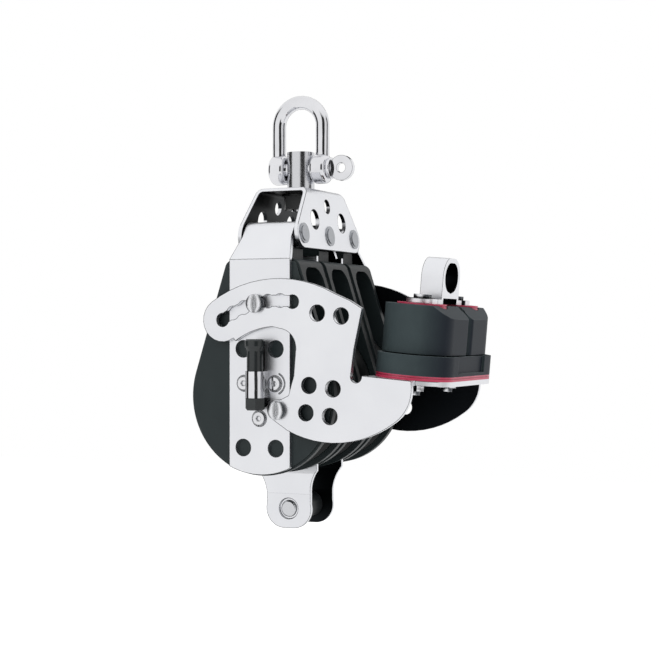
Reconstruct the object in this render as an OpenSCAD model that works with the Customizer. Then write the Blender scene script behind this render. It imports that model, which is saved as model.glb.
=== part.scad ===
// Triple ratchet block with a swivel shackle, a becket and a swinging cam cleat arm.
// X points to the cleat, Y away from the switch side, Z up the shackle.
// The origin is the seat at the inside top of the shackle bow; the block hangs below it.

/* [Sheaves] */
// Diameter of each sheave over its rims
sheave_d = 75; // [70:1:78]
// Width of each sheave
sheave_w = 20; // [18:0.5:22]
// Running clearance between a sheave and each cheek
side_gap = 0.4; // [0.3:0.05:0.6]
// Largest rope the groove takes
rope_d = 14; // [10:1:16]
// Depth of the rope groove
groove_depth = 6; // [4:0.5:7]
// Diameter of the bearing balls
ball_d = 5; // [4.5:0.1:5.2]
// Outer diameter of the inner races
race_d = 32; // [30:0.5:33]
// Balls in each row of the bearing
ball_count = 16; // [12:1:20]
// Diameter of the axle through all three sheaves
axle_d = 12; // [10:0.5:12]
// Clearance of turned parts in their bores, on the radius
fit_gap = 0.05; // [0.03:0.01:0.08]

/* [Ratchet] */
// Teeth in the ratchet ring of the front sheave
tooth_count = 24; // [24:12:24]
// Radius to the roots of the ratchet teeth
tooth_root_r = 29; // [28.5:0.25:29.5]
// Height of a ratchet tooth
tooth_h = 2.5; // [2:0.25:2.5]
// Depth of the ratchet recess in the sheave's face
ratchet_depth = 4.2; // [3.8:0.1:4.5]
// Thickness of the pawl
pawl_t = 3; // [2.5:0.1:3.2]

/* [Cheeks] */
// Thickness of a moulded cheek
cheek_t = 4.6; // [4:0.2:5]
// How far a cheek reaches past the sheave's rim
cheek_cover = 2.8; // [2:0.2:4]
// Height of the cheek tops above the axle
cheek_rise = 70; // [68:0.5:71]
// Width of the cheeks at the top
cheek_top_w = 43; // [40:0.5:46]
// Corner radius at the top of a cheek
cheek_corner_r = 5; // [3:0.5:6]
// Thickness of the bridge over the rope
bridge_t = 4; // [3:0.5:5]
// Radius under the ends of the bridge
arch_r = 7; // [4:0.5:9]
// Depth of the stepped edge around a cheek
cheek_step = 1.2; // [0.8:0.1:1.6]

/* [Straps] */
// Thickness of the strap plate
strap_t = 2; // [1.6:0.1:2.2]
// Width of the straps
strap_w = 34.4; // [32:0.2:34.8]
// Width of the straps at the head
strap_top_w = 28.2; // [27:0.2:28.4]
// Diameter of the lightening holes in the straps
strap_hole_d = 8.6; // [7:0.2:10]
// Distance between the lightening holes across the strap
strap_hole_span = 18.4; // [17:0.2:19]
// Height of the upper lightening holes above the axle
strap_hole_up = 24.3; // [22:0.1:26]
// Depth of the lower lightening holes below the axle
strap_hole_down = 26; // [24:0.1:28]

/* [Head] */
// Thickness of the head bracket
head_t = 2; // [1.8:0.1:3]
// Height of the head bracket's top above the axle
head_top = 108.4; // [107:0.2:109]
// Height of the strap pins above the axle
head_pin_z = 83.7; // [83:0.1:84.5]
// Diameter of the strap pins
head_pin_d = 8; // [6:0.5:9]
// Inner width of the head bracket at its top
head_in_top = 25.2; // [24:0.2:27]
// Inner width of the head bracket at its lower edge
head_in_low = 32; // [31:0.2:34]
// Length of the head bracket at its top
head_top_l = 46; // [40:1:48]
// Edge distance around the strap pins
head_edge_r = 7.6; // [7:0.1:7.7]
// Diameter of the rivet heads on the pins
rivet_head_d = 10.6; // [10:0.1:12]

/* [Shackle] */
// Diameter of the shackle bar
bow_d = 7.2; // [6.4:0.1:7.6]
// Clear width between the legs of the shackle
bow_in = 18.4; // [17:0.1:19]
// Clear height from the pin's axis to the inside top of the bow
bow_h = 32.3; // [28:0.1:36]
// Diameter of the shackle's eyes
bow_eye_d = 15.8; // [14.5:0.1:16.5]
// Diameter of the shackle pin
shackle_pin_d = 8; // [6:0.25:8.5]
// Height of the shackle pin above the axle
shackle_pin_z = 119.8; // [118.5:0.1:122]
// Diameter of the swivel post
post_d = 14.5; // [13.5:0.1:15]
// Height of the post's top above the shackle pin
post_rise = 9.1; // [8:0.1:10]
// Diameter of the post's shank in the head bracket
shank_d = 10; // [8:0.5:11]

/* [Becket] */
// Depth of the becket pin below the axle
becket_drop = 60.2; // [59.5:0.1:61]
// Width of the becket ears
ear_w = 25.4; // [23:0.2:27]
// Edge distance below the becket pin
ear_edge = 10.3; // [9:0.1:12]
// Diameter of the becket pin
becket_pin_d = 8.4; // [7.5:0.1:9]
// How far the ears step in below the cheeks
ear_set = 2; // [1:0.1:3]
// Diameter of the becket bush
bush_d = 14; // [13:0.5:16]

/* [Switch] */
// Diameter of the switch stem
stem_d = 8.2; // [7.8:0.1:8.3]
// Diameter of the caps on the switch stem
stem_cap_d = 10.4; // [10:0.1:10.6]
// Diameter of the switch sleeve
sleeve_d = 9.8; // [9.8:0.1:10]
// Length of the switch sleeve
sleeve_l = 13.6; // [12:0.1:15]
// Travel of the switch
switch_travel = 10; // [8:0.5:10]

/* [Cleat arm] */
// Thickness of the arm's plate
arm_t = 2.5; // [2:0.1:3]
// Gap between the arm and the straps
arm_gap = 0.5; // [0.4:0.05:0.8]
// Place of the arm's pivot to the right of the axle
arm_pivot_x = 11.6; // [11.4:0.1:12.5]
// Depth of the arm's pivot below the axle
arm_pivot_drop = 6.5; // [6:0.1:7]
// Radius of the notched slot about the pivot
slot_r = 55.2; // [54:0.1:56]
// Width of the slot's channel
slot_w = 5.4; // [5.2:0.1:5.8]
// Diameter of the slot's notches
notch_d = 6.9; // [6.6:0.1:7.4]
// Number of notches along the slot
notch_count = 7; // [7:2:7]
// Angle from one notch to the next
notch_step = 7.2; // [6.8:0.1:7.2]
// Diameter of the round holes in the arm
arm_hole_d = 8.2; // [6:0.2:9]
// Diameter of the pivot and slot screw heads
arm_screw_head_d = 9.6; // [9:0.1:10]

/* [Cam cleat] */
// Distance between the two cam posts
cam_span = 48; // [47:0.5:49]
// Width of the cleat's base
base_w = 40; // [39:0.5:41]
// Height of the cleat's base
base_h = 10; // [8:0.5:11]
// Thickness of the wear plate under the base
wear_t = 2.3; // [1.5:0.1:3]
// Height of the cams
cam_h = 24.2; // [22:0.2:26]
// Diameter of the cam posts
cam_post_d = 12; // [10:0.5:13]
// Teeth on the gripping face of each cam
cam_teeth = 7; // [5:1:8]
// Length of the fairlead ring along the rope
ring_l = 12; // [8:0.5:14]
// Thickness of the fairlead strip
ring_t = 2.4; // [1.8:0.1:3]

/* [Hidden] */

$fn = 64;
eps = 0.01;

cheek_r = sheave_d / 2 + cheek_cover;
sheave_gap = sheave_w + 2 * side_gap;
pitch = sheave_gap + 2 * cheek_t + strap_t;
cheek_in = sheave_gap / 2;
cheek_out = cheek_in + cheek_t;
strap_in_y = pitch + cheek_out;
strap_out_y = strap_in_y + strap_t;
inner_strap_y = pitch / 2;
block_z = -(shackle_pin_z + bow_h);

ball_ring_r = race_d / 2 + fit_gap + ball_d / 2;
sheave_bore_r = ball_ring_r + ball_d / 2 + fit_gap;
ball_row_y = ball_d / 2 + 0.5;
tooth_tip_r = tooth_root_r - tooth_h;

hub_screw_ring_r = 11;
hub_screw_angles = [38, 142, 270];
hub_screw_d = 4;
hub_screw_depth = 6;
hub_screw_head_d = 6.6;
hub_screw_head_h = 1.2;
hub_screw_key_depth = 1;
hub_screw_key = 2.5;

arm_in_y = strap_out_y + arm_gap;
arm_out_y = arm_in_y + arm_t;
arm_pivot = [arm_pivot_x, -arm_pivot_drop];
arm_shank_d = 6;
slot_screw_d = 5;
arm_washer_d = 11;
arm_head_h = 2.4;
arm_head_edge = 0.7;
head_gap = 0.1;
driver_slot_w = 1.5;
slot_middle = 102.8;
slot_half = notch_step * (notch_count - 1) / 2;

sleeve_top = 13.2;
switch_x = 0.8;
switch_clear = 0.2;
switch_y = -(strap_out_y + hub_screw_head_h + switch_clear + stem_cap_d / 2);
stem_top = sleeve_top + switch_travel + 0.1;
cap_h = 6;

black = "#39403f";
charcoal = "#454b4d";
steel = "#d9dade";
bright = "#c9cbce";
dark_steel = "#8d9094";
red = "#b03a52";
acetal = "#2a2d2e";

// Point at an angle on a circle
function polar(c, r, a) = [c.x + r * cos(a), c.y + r * sin(a)];
// Points along a circle from one angle to another
function arc(c, r, from, to, steps = 12) =
    [for (i = [0:steps]) polar(c, r, from + (to - from) * i / steps)];
// Direction of the outer tangent from round a to the next round b
function tangent(a, b) =
    atan2(b.y - a.y, b.x - a.x) - acos((a.z - b.z) / norm([b.x - a.x, b.y - a.y]));

// Outline drawn tight around rounds [x, y, r] listed anticlockwise
module belt(rounds) {
    count = len(rounds);
    for (c = rounds) translate([c.x, c.y]) circle(r = c.z);
    polygon([for (i = [0:count - 1])
        let (a = rounds[i], b = rounds[(i + 1) % count], t = tangent(a, b))
        each [polar(a, a.z, t), polar(b, b.z, t)]]);
}

// Puts the block's axle at its height below the shackle seat
module hung() translate([0, 0, block_z]) children();
// Plate drawn in X and Z, from y0 over a thickness
module along_y(y0, t) translate([0, y0 + t, 0]) rotate([90, 0, 0]) linear_extrude(t) children();
// Plate drawn in Y and Z, from x0 over a thickness
module along_x(x0, t) translate([x0, 0, 0]) rotate([90, 0, 90]) linear_extrude(t) children();
// Round bar along Y at [x, z]
module bar_y(at, d, y0, y1) translate([at.x, y0, at.y]) rotate([-90, 0, 0]) cylinder(d = d, h = y1 - y0);
// Round bar along X at [y, z]
module bar_x(at, d, x0, x1) translate([x0, at.x, at.y]) rotate([0, 90, 0]) cylinder(d = d, h = x1 - x0);
// Repeats its children mirrored to the rear side
module both_sides() {
    children();
    mirror([0, 1, 0]) children();
}

// Shackle

bow_r = (bow_in + bow_d) / 2;
bow_turn_z = shackle_pin_z + bow_h + bow_d / 2 - bow_r;
eye_gap = 0.35;
eye_in = post_d / 2 + eye_gap;
eye_out = bow_in / 2 + bow_d + 0.2;
eye_t = eye_out - eye_in;
eye_round = 2.6;
collar_d = 11.4;
collar_t = 2;
collar_round = 0.7;
tab_x = eye_out + collar_t;
tab_d = 13.4;
tab_t = 2.8;
tab_hole_d = 5.2;
tab_neck = 1.2;
tab_centre_x = tab_x + tab_d / 2 - tab_neck;
pin_proud = 0.6;

// Disc on the pin's axis with rounded rims, from x0 over a thickness
module round_disc(d, x0, t, rim) translate([x0, 0, shackle_pin_z]) rotate([0, 90, 0]) rotate_extrude()
    difference() {
        union() {
            square([d / 2 - rim, t]);
            translate([0, rim]) square([d / 2, t - 2 * rim]);
            for (h = [rim, t - rim]) translate([d / 2 - rim, h]) circle(r = rim);
        }
        translate([-d, -1]) square([d, t + 2]);
    }

module shackle_bow() color(bright) hung() {
    difference() {
        union() {
            translate([0, 0, bow_turn_z]) rotate([90, 0, 0])
                rotate_extrude(angle = 180) translate([bow_r, 0]) circle(d = bow_d);
            for (side = [-1, 1]) {
                translate([side * bow_r, 0, shackle_pin_z])
                    cylinder(d = bow_d, h = bow_turn_z - shackle_pin_z);
                round_disc(bow_eye_d, side > 0 ? eye_in : -eye_out, eye_t, eye_round);
            }
        }
        bar_x([0, shackle_pin_z], shackle_pin_d + 2 * fit_gap, -3 * eye_t, 3 * eye_t);
    }
}

module shackle_pin() color(bright) hung() {
    bar_x([0, shackle_pin_z], shackle_pin_d, -eye_out - pin_proud, tab_x);
    round_disc(collar_d, eye_out, collar_t, collar_round);
    difference() {
        union() {
            bar_y([tab_centre_x, shackle_pin_z], tab_d, -tab_t / 2, tab_t / 2);
            translate([tab_x - eps, -tab_t / 2, shackle_pin_z - shackle_pin_d / 2])
                cube([tab_d / 2, tab_t, shackle_pin_d]);
        }
        bar_y([tab_centre_x, shackle_pin_z], tab_hole_d, -tab_t, tab_t);
    }
}

// Swivel post

swivel_gap = 0.2;
washer_t = 1;
nut_h = 7;
nut_flats = 17;
head_under = head_top - head_t;

module swivel_post() color(bright) hung() difference() {
    union() {
        translate([0, 0, head_top + swivel_gap])
            cylinder(d = post_d, h = shackle_pin_z + post_rise - head_top - swivel_gap);
        translate([0, 0, head_under - swivel_gap - washer_t - nut_h - 1])
            cylinder(d = shank_d, h = head_t + 2 * swivel_gap + washer_t + nut_h + 1 + eps);
    }
    bar_x([0, shackle_pin_z], shackle_pin_d + 2 * fit_gap, -post_d, post_d);
}

module post_nut() color(dark_steel) hung()
    translate([0, 0, head_under - swivel_gap - washer_t - nut_h]) difference() {
        cylinder(d = nut_flats / cos(30), h = nut_h, $fn = 6);
        translate([0, 0, -eps]) cylinder(d = shank_d + 2 * fit_gap, h = nut_h + 2 * eps);
    }

module swivel_washer() color(acetal) hung()
    translate([0, 0, head_under - swivel_gap - washer_t]) difference() {
        cylinder(d = 20, h = washer_t);
        translate([0, 0, -eps]) cylinder(d = shank_d + 2 * fit_gap, h = washer_t + 2 * eps);
    }

// Head bracket

head_low = head_pin_z - head_edge_r;
head_lean = atan2((head_in_low - head_in_top) / 2, head_under - head_low);
head_pin_in = head_in_top / 2 + (head_under - head_pin_z) * tan(head_lean);
fold_r = 2;
head_hole_top = [0, 99.4];
head_hole_top_d = 7.4;
head_hole_side = [17.2, 91.6];
head_hole_side_d = 10.4;
rivet_rim_t = 0.5;
rivet_face_d = 8;
rivet_face_t = 0.9;
head_fold_out = fold_r + head_t;

// Section of the folded sheet, grown outwards from its inner face
module head_section(grow) {
    top = head_under + grow;
    half_top = head_in_top / 2 + grow * (1 / cos(head_lean) - tan(head_lean));
    half_low = head_in_low / 2 + grow / cos(head_lean) + tan(head_lean) - 1 / cos(head_lean);
    r = fold_r + grow;
    inset = r * tan((90 - head_lean) / 2);
    belt([[half_low, head_low - 1, 1], [half_top - inset, top - r, r],
        [inset - half_top, top - r, r], [-half_low, head_low - 1, 1]]);
}

// Side outline of the bracket, around the outer strap pins
module head_outline() belt([[pitch, head_pin_z, head_edge_r], [head_top_l / 2 - 2, head_top - 2, 2],
    [2 - head_top_l / 2, head_top - 2, 2], [-pitch, head_pin_z, head_edge_r]]);

module head_bracket() color(steel) hung() difference() {
    intersection() {
        along_y(-2 * pitch, 4 * pitch) difference() {
            head_section(head_t);
            head_section(0);
            translate([-head_in_low, head_low - 5]) square([2 * head_in_low, 5]);
        }
        along_x(-head_in_low, 2 * head_in_low) head_outline();
    }
    for (row = [-1:1]) bar_x([row * pitch, head_pin_z], head_pin_d + 2 * fit_gap, -head_in_low, head_in_low);
    bar_x(head_hole_top, head_hole_top_d, -head_in_low, head_in_low);
    for (side = [-1, 1]) bar_x([side * head_hole_side.x, head_hole_side.y], head_hole_side_d,
        -head_in_low, head_in_low);
    translate([0, 0, head_under - 1]) cylinder(d = shank_d + 2 * fit_gap, h = head_t + 2);
}

// Riveted pin with a head laid against each leaning flange
module head_pin(y) color(bright) hung() {
    half = head_pin_in + head_t;
    bar_x([y, head_pin_z], head_pin_d, -half, half);
    for (side = [-1, 1]) translate([side * (head_pin_in + head_t / cos(head_lean)), y, head_pin_z])
        rotate([0, side * (90 - head_lean), 0]) {
            cylinder(d = rivet_head_d, h = rivet_rim_t);
            cylinder(d = rivet_face_d, h = rivet_face_t);
        }
}
module head_pin_front() head_pin(-pitch);
module head_pin_middle() head_pin(0);
module head_pin_rear() head_pin(pitch);

// Straps

eye_r = head_pin_d / 2 + fit_gap;
eye_out_r = eye_r + strap_t;
outer_bend_z = cheek_rise;
inner_bend_z = cheek_rise + 2.5;
strap_low = cheek_r - 0.7;
rim_d = 8.2;
rim_w = 0.5;
rim_h = 0.2;
boss_ring_r = 5.8;
boss_ring_h = 0.3;
boss_ring_arc = 65;
knuckle_gap = 0.2;

// Direction and length of the sloping part from its bend to the rolled eye
function slope(from, to) = let (d = [to.x - from.x, to.y - from.y])
    [atan2(d.y, d.x) + asin(eye_out_r / norm(d)), sqrt(d * d - eye_out_r * eye_out_r)];

// Sloping part and rolled eye in Y and Z, for a strap whose outer face bends at one point
module slope_profile(bend, eye) {
    s = slope(bend, eye);
    inward = [sin(s[0]), -cos(s[0])];
    run = [cos(s[0]), sin(s[0])] * s[1];
    difference() {
        union() {
            polygon([bend, bend + run, bend + run + strap_t * inward, bend + strap_t * inward]);
            translate(eye) circle(r = eye_out_r);
        }
        translate(eye) circle(r = eye_r);
    }
}

// Round holes through a strap: lightening holes, axle and hub screws
module strap_holes() {
    for (side = [-1, 1]) {
        translate([side * strap_hole_span / 2, strap_hole_up]) circle(d = strap_hole_d);
        translate([side * strap_hole_span / 2, -strap_hole_down]) circle(d = strap_hole_d);
    }
    hub_holes();
}

module hub_holes() {
    circle(d = axle_d + 2 * fit_gap);
    for (a = hub_screw_angles) translate(polar([0, 0], hub_screw_ring_r, a))
        circle(d = hub_screw_d + 2 * fit_gap);
}

// Slot for the switch finger in the front strap and cheek
finger_w = 3;
finger_h = 3;
finger_rise = 0.3;
finger_z = stem_top + finger_rise + finger_h / 2;
finger_slot_depth = 3;
finger_end_gap = 0.3;
finger_slot_w = 4;
finger_top = finger_z + finger_h / 2 + 0.5;
finger_low = finger_z - finger_h / 2 - switch_travel - 0.5;
module finger_slot() translate([switch_x - finger_slot_w / 2, finger_low])
    square([finger_slot_w, finger_top - finger_low]);

module arm_screw_holes() {
    translate(arm_pivot) circle(d = arm_shank_d + 2 * fit_gap);
    translate(polar(arm_pivot, slot_r, slot_middle)) circle(d = slot_screw_d + 2 * fit_gap);
}

// Raised ring pressed in the front of a strap, whole or as an arc open to the left
module coined_ring(at, r, h, sweep) translate([at.x, -strap_out_y + eps, at.y]) rotate([90, 0, 0])
    rotate([0, 0, -sweep / 2]) rotate_extrude(angle = sweep) translate([r - rim_w, 0]) square([rim_w, h + eps]);

// Outer strap, drawn for the front side
module outer_strap(is_front) {
    difference() {
        along_y(-strap_out_y, strap_t) difference() {
            intersection() {
                translate([-strap_w / 2, -strap_low]) square([strap_w, strap_low + outer_bend_z]);
                union() {
                    circle(r = strap_low);
                    translate([-strap_w / 2, 0]) square([strap_w, outer_bend_z]);
                }
            }
            strap_holes();
            arm_screw_holes();
            if (is_front) finger_slot();
        }
    }
    for (a = hub_screw_angles) coined_ring(polar([0, 0], hub_screw_ring_r, a), rim_d / 2, rim_h, 360);
    coined_ring(polar([0, 0], hub_screw_ring_r, hub_screw_angles[0]), boss_ring_r, boss_ring_h, 2 * boss_ring_arc);
    intersection() {
        along_x(-strap_w / 2, strap_w) slope_profile([-strap_out_y, outer_bend_z], [-pitch, head_pin_z]);
        along_y(-strap_out_y - 1, pitch) polygon([[-strap_w / 2, outer_bend_z - strap_t],
            [strap_w / 2, outer_bend_z - strap_t], [strap_w / 2, outer_bend_z],
            [strap_top_w / 2, head_pin_z - 2], [strap_top_w / 2, head_pin_z + eye_out_r + 1],
            [-strap_top_w / 2, head_pin_z + eye_out_r + 1], [-strap_top_w / 2, head_pin_z - 2],
            [-strap_w / 2, outer_bend_z]]);
    }
}
module strap_front() color(steel) hung() outer_strap(true);
module strap_rear() color(steel) hung() mirror([0, 1, 0]) outer_strap(false);

ear_bend_z = -(cheek_r + 0.8);
ear_fold_z = -52.3;
ear_flank_r = 20;
ear_corner_r = ear_edge - 0.3;
ear_sink_d = 11;
ear_sink = 0.9;

// Side view of the plain lower part of an inner strap, stepping in to the becket
module ear_profile() {
    y = -inner_strap_y - strap_t / 2;
    polygon([[y, inner_bend_z], [y, ear_bend_z], [y + ear_set, ear_fold_z],
        [y + ear_set, -becket_drop - 2 * ear_edge], [y + ear_set + strap_t, -becket_drop - 2 * ear_edge],
        [y + ear_set + strap_t, ear_fold_z], [y + strap_t, ear_bend_z], [y + strap_t, inner_bend_z]]);
}

// Front view of an inner strap with its becket ear
module ear_outline() difference() {
    union() {
        translate([-strap_w / 2, ear_fold_z]) square([strap_w, inner_bend_z - ear_fold_z]);
        translate([-ear_w / 2, -becket_drop]) square([ear_w, 20]);
        belt([[ear_corner_r - ear_w / 2, -becket_drop, ear_corner_r + 0.3],
            [ear_w / 2 - ear_corner_r, -becket_drop, ear_corner_r + 0.3]]);
    }
    for (side = [-1, 1]) translate([side * (ear_w / 2 + ear_flank_r), ear_fold_z]) circle(r = ear_flank_r);
    strap_holes();
    translate([0, -becket_drop]) circle(d = becket_pin_d + 2 * fit_gap);
}

// Inner strap drawn for the front side; its rolled eye takes one half of the middle pin
module inner_strap(eye_side) {
    difference() {
        intersection() {
            along_x(-strap_w, 2 * strap_w) ear_profile();
            along_y(-pitch, pitch) ear_outline();
        }
        bar_y([0, -becket_drop], ear_sink_d, -ear_in_y - strap_t - 1, -ear_in_y - strap_t + ear_sink);
    }
    along_x(eye_side > 0 ? knuckle_gap / 2 : -strap_top_w / 2, (strap_top_w - knuckle_gap) / 2)
        slope_profile([-inner_strap_y - strap_t / 2, inner_bend_z], [0, head_pin_z]);
}
module strap_inner_front() color(steel) hung() inner_strap(-1);
module strap_inner_rear() color(steel) hung() mirror([0, 1, 0]) inner_strap(1);

// Cheeks

corner_x = (cheek_top_w / 2 - cheek_corner_r);
corner_z = cheek_rise - cheek_corner_r;
pad_depth = 6;
pad_w = 27;
pad_r = 1.5;
pad_gap = 0.6;
pad_top = head_pin_z - eye_out_r - pad_gap;

module cheek_outline(inset) belt([[0, 0, cheek_r - inset], [corner_x, corner_z, cheek_corner_r - inset],
    [-corner_x, corner_z, cheek_corner_r - inset]]);

// Cheek drawn for the front of a sheave at y = 0, with half of the bridge over the rope
module cheek(is_front_face, is_rear_face) {
    difference() {
        union() {
            along_y(-cheek_out + cheek_step, cheek_t - cheek_step) cheek_outline(0);
            along_y(-cheek_out, cheek_step + eps) cheek_outline(cheek_step);
            intersection() {
                along_y(-cheek_in - eps, cheek_in + eps) cheek_outline(0);
                along_x(-cheek_top_w, 2 * cheek_top_w) difference() {
                    translate([-cheek_in - eps, cheek_rise - bridge_t - arch_r])
                        square([cheek_in + eps, bridge_t + arch_r]);
                    translate([-cheek_in, 0]) square([cheek_in + 1, cheek_rise - bridge_t - arch_r]);
                    translate([arch_r - cheek_in, cheek_rise - bridge_t - arch_r]) circle(r = arch_r);
                    translate([arch_r - cheek_in, cheek_rise - bridge_t - arch_r - 1])
                        square([cheek_in, arch_r + 1]);
                }
            }
            along_y(-pad_depth, pad_depth) belt([[pad_w / 2 - pad_r, cheek_rise - pad_r, pad_r],
                [pad_w / 2 - pad_r, pad_top - pad_r, pad_r], [pad_r - pad_w / 2, pad_top - pad_r, pad_r],
                [pad_r - pad_w / 2, cheek_rise - pad_r, pad_r]]);
        }
        along_y(-2 * cheek_out, 2 * cheek_out) hub_holes();
        if (is_front_face) {
            along_y(-2 * cheek_out, 2 * cheek_out) arm_screw_holes();
            along_y(-cheek_out - 1, 1 + finger_slot_depth) finger_slot();
            bar_y(pawl_pivot, pawl_pin_d + 2 * fit_gap, -2 * cheek_out, 0);
            along_y(-cheek_out + 1.5, cheek_t) pawl_tail_window();
        }
        if (is_rear_face) along_y(-2 * cheek_out, 2 * cheek_out) arm_screw_holes();
    }
}
module cheek_at(y) color(black) hung() translate([0, y, 0]) children();
module cheek_1_front() cheek_at(-pitch) cheek(true, false);
module cheek_1_rear() cheek_at(-pitch) mirror([0, 1, 0]) cheek(false, false);
module cheek_2_front() cheek_at(0) cheek(false, false);
module cheek_2_rear() cheek_at(0) mirror([0, 1, 0]) cheek(false, false);
module cheek_3_front() cheek_at(pitch) cheek(false, false);
module cheek_3_rear() cheek_at(pitch) mirror([0, 1, 0]) cheek(false, true);

// Hub

module race(y) color(bright) hung() translate([0, y, 0]) difference() {
    bar_y([0, 0], race_d, -cheek_in, cheek_in);
    bar_y([0, 0], axle_d + 2 * fit_gap, -pitch, pitch);
    for (end = [-1, 1]) for (a = hub_screw_angles)
        translate([0, end > 0 ? 0 : -cheek_in - eps, 0])
        bar_y(polar([0, 0], hub_screw_ring_r, a), hub_screw_d + 2 * fit_gap,
            end > 0 ? cheek_in - hub_screw_depth - 1 : 0, end > 0 ? cheek_in + eps : hub_screw_depth + 1);
}
module race_1() race(-pitch);
module race_2() race(0);
module race_3() race(pitch);

module axle() color(dark_steel) hung() bar_y([0, 0], axle_d, -strap_out_y, strap_out_y);

module hub_screw(a) {
    at = polar([0, 0], hub_screw_ring_r, a);
    bar_y(at, hub_screw_d, -strap_out_y, -pitch - cheek_in + hub_screw_depth);
    difference() {
        bar_y(at, hub_screw_head_d, -strap_out_y - hub_screw_head_h, -strap_out_y);
        translate([at.x, -strap_out_y - hub_screw_head_h - eps, at.y]) rotate([-90, 0, 0])
            cylinder(d = hub_screw_key / cos(30), h = hub_screw_key_depth + eps, $fn = 6);
    }
}
module hub_screws() color(dark_steel) hung() both_sides() for (a = hub_screw_angles) hub_screw(a);

// Sheaves

groove_r = rope_d / 2 + 1.5;
groove_floor_r = sheave_d / 2 - groove_depth;

module sheave_profile() difference() {
    translate([sheave_bore_r, -sheave_w / 2]) square([sheave_d / 2 - sheave_bore_r, sheave_w]);
    translate([groove_floor_r + groove_r, 0]) circle(r = groove_r);
}

module sheave_body() rotate([90, 0, 0]) rotate_extrude() sheave_profile();

// Ring of saw teeth, cut as the star of a recess
module tooth_ring() polygon([for (i = [0:tooth_count - 1])
    let (a = 360 / tooth_count * i + tooth_phase)
    each [polar([0, 0], tooth_root_r, a - 5), polar([0, 0], tooth_root_r, a + 3),
        polar([0, 0], tooth_tip_r, a + 5.5), polar([0, 0], tooth_tip_r, a + 7)]]);

module sheave_1() color(black) hung() translate([0, -pitch, 0]) difference() {
    sheave_body();
    along_y(-sheave_w / 2 - eps, ratchet_depth + eps) tooth_ring();
}

side_pocket_depth = 2;
module plain_sheave() difference() {
    sheave_body();
    both_sides() along_y(-sheave_w / 2 - eps, side_pocket_depth + eps) difference() {
        circle(r = tooth_root_r);
        circle(r = sheave_bore_r + 2);
    }
}
module sheave_2() color(black) hung() plain_sheave();
module sheave_3() color(black) hung() translate([0, pitch, 0]) plain_sheave();

module ball_rows(y) color(dark_steel) hung() for (row = [-1, 1]) for (i = [0:ball_count - 1])
    let (p = polar([0, 0], ball_ring_r, 360 / ball_count * i))
    translate([p.x, y + row * ball_row_y, p.y]) sphere(d = ball_d, $fn = 24);
module balls_1() ball_rows(-pitch);
module balls_2() ball_rows(0);
module balls_3() ball_rows(pitch);

// Ratchet pawl

pawl_pin_d = 3;
pawl_pivot = [13.5, 16.1];
pawl_tip = [21.3, 14.9];
pawl_tail = [3.6, 20.2];
pawl_y = -pitch - cheek_in + 0.3;
tail_pin_reach = 1.6;
tooth_phase = 38.5;

module pawl() color(dark_steel) hung() {
    difference() {
        union() {
            along_y(pawl_y, pawl_t) {
                belt([[pawl_pivot.x, pawl_pivot.y, 3.2], [pawl_tail.x, pawl_tail.y, 1.6]]);
                belt([[pawl_pivot.x, pawl_pivot.y, 3.2], [pawl_tip.x - 1, pawl_tip.y, 1]]);
            }
            bar_y(pawl_tail, 2, pawl_y - tail_pin_reach, pawl_y + 1);
        }
        bar_y(pawl_pivot, pawl_pin_d + 2 * fit_gap, -2 * pitch, 0);
    }
}
// Window in the cheek for the tail pin of the pawl
module pawl_tail_window() translate([pawl_tail.x - 3.2, pawl_tail.y - 5.2]) square([4.8, 7]);

module pawl_pin() color(dark_steel) hung()
    bar_y(pawl_pivot, pawl_pin_d, -strap_in_y, pawl_y + pawl_t + 0.3);

// Switch

module switch_sleeve() color(bright) hung() difference() {
    union() {
        translate([switch_x, switch_y, sleeve_top - sleeve_l]) cylinder(d = sleeve_d, h = sleeve_l);
        translate([switch_x - 3.4, switch_y, sleeve_top - sleeve_l])
            cube([6.8, -strap_out_y - switch_y, sleeve_l]);
    }
    translate([switch_x, switch_y, sleeve_top - sleeve_l - 1])
        cylinder(d = stem_d + 2 * fit_gap, h = sleeve_l + 2);
}

// Knob with a chamfered top and a cone down to the stem
knob_edge = 0.9;
knob_cone = 2.4;
foot_hex_d = 10.8;
module switch_stem() color(black) hung() {
    translate([switch_x, switch_y, sleeve_top]) {
        translate([0, 0, -sleeve_l - cap_h]) cylinder(d = stem_d, h = stem_top - sleeve_top + sleeve_l + cap_h);
        translate([0, 0, -sleeve_l - cap_h - fit_gap]) {
            cylinder(d1 = foot_hex_d - 2 * knob_edge, d2 = foot_hex_d, h = knob_edge, $fn = 6);
            translate([0, 0, knob_edge]) cylinder(d = foot_hex_d, h = cap_h - knob_edge, $fn = 6);
        }
        translate([0, 0, stem_top - sleeve_top]) {
            cylinder(d1 = stem_d, d2 = stem_cap_d, h = knob_cone);
            translate([0, 0, knob_cone]) cylinder(d = stem_cap_d, h = cap_h - knob_cone - knob_edge);
            translate([0, 0, cap_h - knob_edge])
                cylinder(d1 = stem_cap_d, d2 = stem_cap_d - 2 * knob_edge, h = knob_edge);
        }
    }
    translate([switch_x - finger_w / 2, switch_y, finger_z - finger_h / 2])
        cube([finger_w, -switch_y - strap_in_y + finger_slot_depth - finger_end_gap, finger_h]);
}

// Becket

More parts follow.
